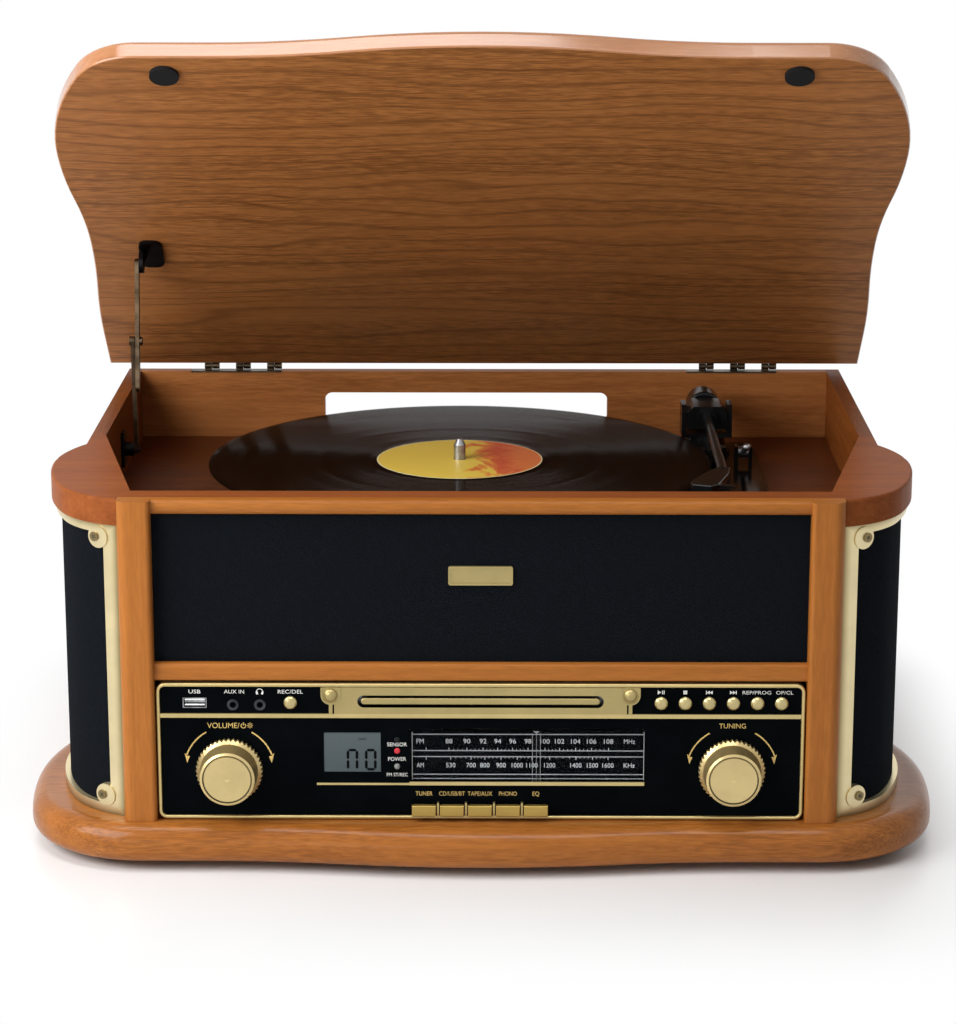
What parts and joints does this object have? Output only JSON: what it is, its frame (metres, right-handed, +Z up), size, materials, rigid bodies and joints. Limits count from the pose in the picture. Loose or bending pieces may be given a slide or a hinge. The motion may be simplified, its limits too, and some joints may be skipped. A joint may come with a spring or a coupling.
{
  "type": "stereo music centre",
  "caption": "Wooden music centre: turntable under a folding lid, radio dial panel with disc tray and knobs, cassette slot, and curved loudspeaker grilles at the front corners.",
  "frame": {"origin": "centre of the footprint on the floor", "axes": "+X to the right of someone facing the front, +Y to the back, +Z up"},
  "size_m": [0.522, 0.3793, 0.4563],
  "materials": {
    "wood": "satin varnish",
    "dark_wood": "matt stain",
    "black_cloth": "woven",
    "gold_trim": "satin gold",
    "gold_parts": "bright champagne gold",
    "black_gloss": "glossy",
    "black_matte": "matt",
    "rubber": "matt",
    "steel": "satin",
    "dark_steel": "blackened",
    "brass": "satin",
    "platter_metal": "satin",
    "vinyl": "grooved, glossy",
    "display": "glossy",
    "clear": "clear",
    "boards": "matt"
  },
  "bodies": {
    "cabinet": {"base_plinth": "wood", "rubber_feet": "rubber", "side_panels": "wood", "back_panel": "dark_wood", "top_deck": "wood", "front_frame": "wood", "front_cloth_panel": "black_cloth", "badge_plate": "gold_trim", "panel_frame": "gold_trim", "fascia": "black_gloss", "cd_surround": "gold_trim", "cd_drive": "steel", "front_sockets": "steel", "dial_window": "clear", "display_module": "display", "circuit_boards": "boards", "power_transformer": "dark_steel", "turntable_board": "dark_wood", "turntable_chassis": "black_gloss", "drive_motor": "steel", "drive_belt": "rubber", "cabinet_hinge_leaves": "dark_steel", "stay_wall_bracket": "dark_steel", "grille_cloths": "black_cloth", "grille_frames": "gold_trim", "cabinet_screws": "brass", "speaker_drivers": "black_matte", "rear_socket_plate": "black_matte", "cassette_deck": "black_matte"},
    "tray": {"cd_tray": "gold_parts"},
    "rec_push": {"rec_button": "gold_parts"},
    "play_push": {"play_button": "gold_parts"},
    "stop_push": {"stop_button": "gold_parts"},
    "previous_push": {"previous_button": "gold_parts"},
    "next_push": {"next_button": "gold_parts"},
    "repeat_push": {"repeat_button": "gold_parts"},
    "open_push": {"open_button": "gold_parts"},
    "tuner_press": {"tuner_key": "gold_parts"},
    "disc_press": {"disc_key": "gold_parts"},
    "tape_press": {"tape_key": "gold_parts"},
    "phono_press": {"phono_key": "gold_parts"},
    "eq_press": {"eq_key": "gold_parts"},
    "volume": {"volume_knob": "gold_parts"},
    "tuning": {"tuning_knob": "gold_parts"},
    "pointer": {"dial_pointer": "clear"},
    "turntable": {"platter": "platter_metal", "record": "vinyl"},
    "pulley": {"motor_pulley": "brass"},
    "arm_turret": {"tonearm_turret": "black_gloss"},
    "arm": {"tonearm": "black_gloss"},
    "cue": {"cue_lever": "steel"},
    "speed": {"speed_lever": "black_matte"},
    "lid": {"lid_board": "wood", "lid_pads": "rubber", "lid_hinge_leaves": "dark_steel", "stay_lid_bracket": "dark_steel"},
    "stay_upper": {"stay_upper_link": "dark_steel"},
    "stay_lower": {"stay_lower_link": "steel"},
    "tape_flap": {"cassette_flap": "black_matte"},
    "tape_eject": {"cassette_key": "black_gloss"}
  },
  "joints": [
    {"name": "lid_hinge", "type": "hinge", "parent": "cabinet", "child": "lid", "pos_m": [0, 0.1818, 0.2135], "axis": [-1, 0, 0], "range_deg": [-41, 0]},
    {"name": "stay_lower_pivot", "type": "hinge", "parent": "cabinet", "child": "stay_lower", "pos_m": [-0.2145, 0.0658, 0.185], "axis": [-1, 0, 0], "range_deg": [-86, 0.2]},
    {"name": "stay_upper_pivot", "type": "hinge", "parent": "lid", "child": "stay_upper", "pos_m": [-0.2115, 0.06938, 0.30062], "axis": [-1, 0, 0], "range_deg": [-0.2, 97]},
    {"name": "tray_slide", "type": "slide", "parent": "cabinet", "child": "tray", "axis": [0, -1, 0], "range_m": [0, 0.128]},
    {"name": "rec_button_slide", "type": "slide", "parent": "cabinet", "child": "rec_push", "axis": [0, 1, 0], "range_m": [0, 0.0012], "stiffness_N_per_m": 300, "springref_m": -0.0008},
    {"name": "play_button_slide", "type": "slide", "parent": "cabinet", "child": "play_push", "axis": [0, 1, 0], "range_m": [0, 0.0012], "stiffness_N_per_m": 300, "springref_m": -0.0008},
    {"name": "stop_button_slide", "type": "slide", "parent": "cabinet", "child": "stop_push", "axis": [0, 1, 0], "range_m": [0, 0.0012], "stiffness_N_per_m": 300, "springref_m": -0.0008},
    {"name": "previous_button_slide", "type": "slide", "parent": "cabinet", "child": "previous_push", "axis": [0, 1, 0], "range_m": [0, 0.0012], "stiffness_N_per_m": 300, "springref_m": -0.0008},
    {"name": "next_button_slide", "type": "slide", "parent": "cabinet", "child": "next_push", "axis": [0, 1, 0], "range_m": [0, 0.0012], "stiffness_N_per_m": 300, "springref_m": -0.0008},
    {"name": "repeat_button_slide", "type": "slide", "parent": "cabinet", "child": "repeat_push", "axis": [0, 1, 0], "range_m": [0, 0.0012], "stiffness_N_per_m": 300, "springref_m": -0.0008},
    {"name": "open_button_slide", "type": "slide", "parent": "cabinet", "child": "open_push", "axis": [0, 1, 0], "range_m": [0, 0.0012], "stiffness_N_per_m": 300, "springref_m": -0.0008},
    {"name": "tuner_key_slide", "type": "slide", "parent": "cabinet", "child": "tuner_press", "axis": [0, 1, 0], "range_m": [0, 0.003], "stiffness_N_per_m": 200, "springref_m": -0.001},
    {"name": "disc_key_slide", "type": "slide", "parent": "cabinet", "child": "disc_press", "axis": [0, 1, 0], "range_m": [0, 0.003], "stiffness_N_per_m": 200, "springref_m": -0.001},
    {"name": "tape_key_slide", "type": "slide", "parent": "cabinet", "child": "tape_press", "axis": [0, 1, 0], "range_m": [0, 0.003], "stiffness_N_per_m": 200, "springref_m": -0.001},
    {"name": "phono_key_slide", "type": "slide", "parent": "cabinet", "child": "phono_press", "axis": [0, 1, 0], "range_m": [0, 0.003], "stiffness_N_per_m": 200, "springref_m": -0.001},
    {"name": "eq_key_slide", "type": "slide", "parent": "cabinet", "child": "eq_press", "axis": [0, 1, 0], "range_m": [0, 0.003], "stiffness_N_per_m": 200, "springref_m": -0.001},
    {"name": "volume_turn", "type": "hinge", "parent": "cabinet", "child": "volume", "pos_m": [-0.1398, -0.17, 0.0562], "axis": [0, 1, 0], "range_deg": [-140, 140]},
    {"name": "tuning_turn", "type": "hinge", "parent": "cabinet", "child": "tuning", "pos_m": [0.1398, -0.17, 0.0562], "axis": [0, 1, 0], "range_deg": [-593, 485]},
    {"name": "pointer_slide", "type": "slide", "parent": "cabinet", "child": "pointer", "axis": [1, 0, 0], "range_m": [-0.0495, 0.0405]},
    {"name": "platter_turn", "type": "hinge", "parent": "cabinet", "child": "turntable", "pos_m": [-0.0137, 0.0152, 0.1892], "axis": [0, 0, 1], "continuous": true},
    {"name": "pulley_turn", "type": "hinge", "parent": "cabinet", "child": "pulley", "pos_m": [-0.09263, -0.01353, 0.17], "axis": [0, 0, 1], "continuous": true},
    {"name": "arm_swing", "type": "hinge", "parent": "cabinet", "child": "arm_turret", "pos_m": [0.1415, 0.12, 0.1955], "axis": [0, 0, -1], "range_deg": [0, 38]},
    {"name": "arm_lift", "type": "hinge", "parent": "arm_turret", "child": "arm", "pos_m": [0.1415, 0.12, 0.1955], "axis": [-1, 0, 0], "range_deg": [0, 12]},
    {"name": "cue_tilt", "type": "hinge", "parent": "cabinet", "child": "cue", "pos_m": [0.163, 0.088, 0.1785], "axis": [-1, 0, 0], "range_deg": [-14, 30]},
    {"name": "speed_shift", "type": "slide", "parent": "cabinet", "child": "speed", "axis": [0, 1, 0], "range_m": [-0.009, 0.009]},
    {"name": "tape_flap_hinge", "type": "hinge", "parent": "cabinet", "child": "tape_flap", "pos_m": [0.2318, 0.11, 0.1046], "axis": [0, 1, 0], "range_deg": [0, 70], "stiffness_Nm_per_rad": 0.002, "springref_deg": -17.19},
    {"name": "tape_eject_slide", "type": "slide", "parent": "cabinet", "child": "tape_eject", "axis": [-1, 0, 0], "range_m": [0, 0.003], "stiffness_N_per_m": 300, "springref_m": -0.001}
  ],
  "couplings": [
    {"joint": "stay_lower_pivot", "follows": "lid_hinge", "ratio": 2.0889},
    {"joint": "stay_upper_pivot", "follows": "lid_hinge", "ratio": -2.3513},
    {"joint": "pointer_slide", "follows": "tuning_turn", "m_per_rad": 0.00478},
    {"joint": "pulley_turn", "follows": "platter_turn", "ratio": 18.571}
  ]
}
